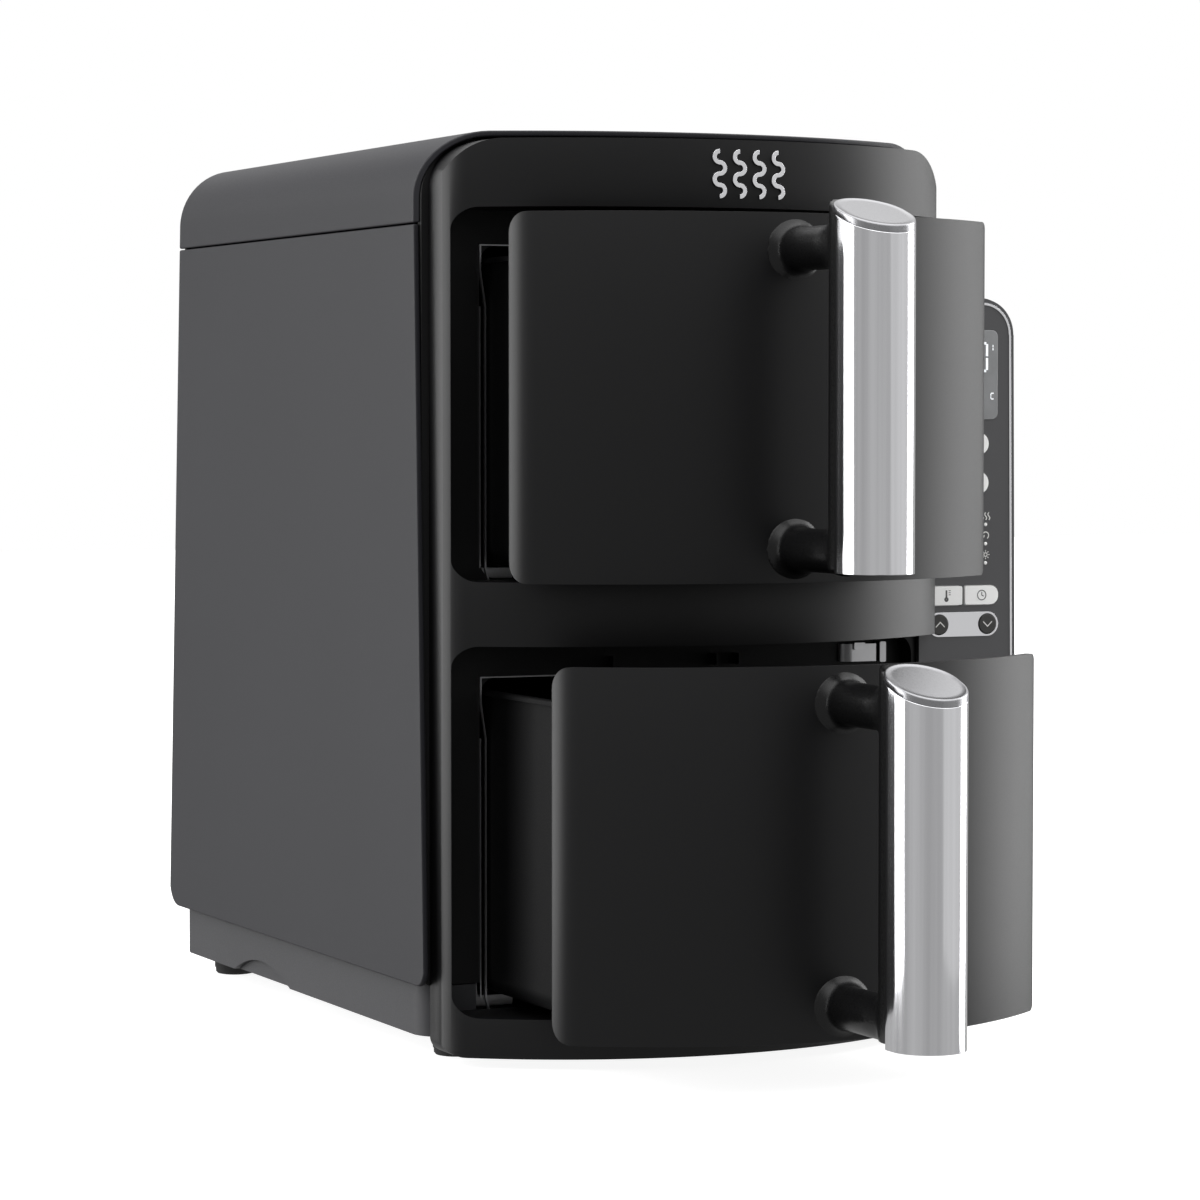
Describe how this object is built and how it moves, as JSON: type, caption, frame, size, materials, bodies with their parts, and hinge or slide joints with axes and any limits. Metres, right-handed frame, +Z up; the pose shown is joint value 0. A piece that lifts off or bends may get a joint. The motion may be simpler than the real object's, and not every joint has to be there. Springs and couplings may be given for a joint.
{
  "type": "air fryer",
  "caption": "Tall two-drawer air fryer with stacked bowed drawers, bright vertical handles, a painted shell and a control pod at the right.",
  "frame": {"origin": "centre of the bounding box at its bottom, on the table under the feet, with the drawers open as at rest", "axes": "+Z up, -Y towards the user (the drawers pull out along -Y), +X to the user's right, where the control pod is"},
  "size_m": [0.28, 0.554, 0.385],
  "materials": {
    "painted_shell": "moulded shell with a matte, finely textured lacquer",
    "satin_black": "satin moulded plastic",
    "deep_black": "matte black plastic",
    "base_plastic": "matte moulded plastic",
    "foot_rubber": "matte rubber",
    "pod_plastic": "satin gloss",
    "panel_gloss": "smooth gloss overlay",
    "key_white": "satin",
    "key_dark": "satin",
    "bright_trim": "bright",
    "display": "smoked window over a lit display",
    "polished_steel": "polished, very fine vertical grain",
    "satin_cap": "satin",
    "plain_steel": "bare sheet",
    "nonstick": "pressed sheet with a dark non-stick coating, fine speckle",
    "heater_metal": "heat-darkened tube",
    "fan_aluminium": "stamped sheet",
    "motor_metal": "satin",
    "board": "circuit board with parts",
    "silicone": "matte silicone"
  },
  "bodies": {
    "body": {"top_cover": "painted_shell", "left_side_panel": "painted_shell", "right_side_panel": "painted_shell", "rear_cover": "satin_black", "rear_grille": "satin_black", "base_tub": "base_plastic", "rubber_feet": "foot_rubber", "face_plate": "deep_black", "front_frame": "satin_black", "badge": "bright_trim", "upper_liner": "nonstick", "lower_liner": "nonstick", "mid_deck": "plain_steel", "drawer_rails": "plain_steel", "heating_elements": "heater_metal", "fan_guards": "plain_steel", "fan_shrouds": "plain_steel", "fan_motors": "motor_metal", "temperature_probes": "plain_steel", "drawer_switches": "satin_black", "cord_gland": "deep_black", "case_screws": "plain_steel", "power_board": "board", "pod_housing": "pod_plastic", "control_panel": "panel_gloss", "panel_trim": "bright_trim", "display_window": "display", "control_board": "board"},
    "upper_drawer": {"upper_drawer_front": "satin_black", "upper_drawer_insert": "deep_black", "upper_basket": "nonstick", "upper_handle_bracket": "satin_black", "upper_handle_bar": "polished_steel", "upper_handle_cap": "satin_cap", "upper_handle_screws": "plain_steel"},
    "upper_plate": {"upper_crisper_plate": "nonstick", "upper_plate_feet": "silicone"},
    "upper_fan_rotor": {"upper_fan": "fan_aluminium", "upper_fan_shaft": "plain_steel"},
    "lower_drawer": {"lower_drawer_front": "satin_black", "lower_drawer_insert": "deep_black", "lower_basket": "nonstick", "lower_handle_bracket": "satin_black", "lower_handle_bar": "polished_steel", "lower_handle_cap": "satin_cap", "lower_handle_screws": "plain_steel"},
    "lower_plate": {"lower_crisper_plate": "nonstick", "lower_plate_feet": "silicone"},
    "lower_fan_rotor": {"lower_fan": "fan_aluminium", "lower_fan_shaft": "plain_steel"},
    "zone_1_key": {"zone_1_button": "key_white"},
    "zone_2_key": {"zone_2_button": "key_white"},
    "sync_key": {"sync_button": "key_white"},
    "match_key": {"match_button": "key_white"},
    "temp_key": {"temp_button": "key_white"},
    "time_key": {"time_button": "key_white"},
    "up_key": {"up_button": "key_dark"},
    "down_key": {"down_button": "key_dark"},
    "start_key": {"start_button": "key_white"},
    "power_key": {"power_button": "key_white"}
  },
  "joints": [
    {"name": "upper_drawer_slide", "type": "slide", "parent": "body", "child": "upper_drawer", "axis": [0, -1, 0], "range_m": [-0.045, 0.145]},
    {"name": "upper_plate_lift", "type": "slide", "parent": "upper_drawer", "child": "upper_plate", "axis": [0, 0, 1], "range_m": [0, 0.115]},
    {"name": "upper_fan_spin", "type": "hinge", "parent": "body", "child": "upper_fan_rotor", "pos_m": [-0.0175, 0.18295, 0.2767], "axis": [0, 1, 0], "continuous": true},
    {"name": "lower_drawer_slide", "type": "slide", "parent": "body", "child": "lower_drawer", "axis": [0, -1, 0], "range_m": [-0.0865, 0.1035]},
    {"name": "lower_plate_lift", "type": "slide", "parent": "lower_drawer", "child": "lower_plate", "axis": [0, 0, 1], "range_m": [0, 0.115]},
    {"name": "lower_fan_spin", "type": "hinge", "parent": "body", "child": "lower_fan_rotor", "pos_m": [-0.0175, 0.18295, 0.0974], "axis": [0, 1, 0], "continuous": true},
    {"name": "zone_1_press", "type": "slide", "parent": "body", "child": "zone_1_key", "axis": [0, 1, 0], "range_m": [0, 0.0008], "stiffness_N_per_m": 600, "springref_m": -0.001},
    {"name": "zone_2_press", "type": "slide", "parent": "body", "child": "zone_2_key", "axis": [0, 1, 0], "range_m": [0, 0.0008], "stiffness_N_per_m": 600, "springref_m": -0.001},
    {"name": "sync_press", "type": "slide", "parent": "body", "child": "sync_key", "axis": [0, 1, 0], "range_m": [0, 0.0008], "stiffness_N_per_m": 600, "springref_m": -0.001},
    {"name": "match_press", "type": "slide", "parent": "body", "child": "match_key", "axis": [0, 1, 0], "range_m": [0, 0.0008], "stiffness_N_per_m": 600, "springref_m": -0.001},
    {"name": "temp_press", "type": "slide", "parent": "body", "child": "temp_key", "axis": [0, 1, 0], "range_m": [0, 0.0008], "stiffness_N_per_m": 600, "springref_m": -0.001},
    {"name": "time_press", "type": "slide", "parent": "body", "child": "time_key", "axis": [0, 1, 0], "range_m": [0, 0.0008], "stiffness_N_per_m": 600, "springref_m": -0.001},
    {"name": "up_press", "type": "slide", "parent": "body", "child": "up_key", "axis": [0, 1, 0], "range_m": [0, 0.0008], "stiffness_N_per_m": 600, "springref_m": -0.001},
    {"name": "down_press", "type": "slide", "parent": "body", "child": "down_key", "axis": [0, 1, 0], "range_m": [0, 0.0008], "stiffness_N_per_m": 600, "springref_m": -0.001},
    {"name": "start_press", "type": "slide", "parent": "body", "child": "start_key", "axis": [0, 1, 0], "range_m": [0, 0.0008], "stiffness_N_per_m": 600, "springref_m": -0.001},
    {"name": "power_press", "type": "slide", "parent": "body", "child": "power_key", "axis": [0, 1, 0], "range_m": [0, 0.0008], "stiffness_N_per_m": 600, "springref_m": -0.001}
  ]
}
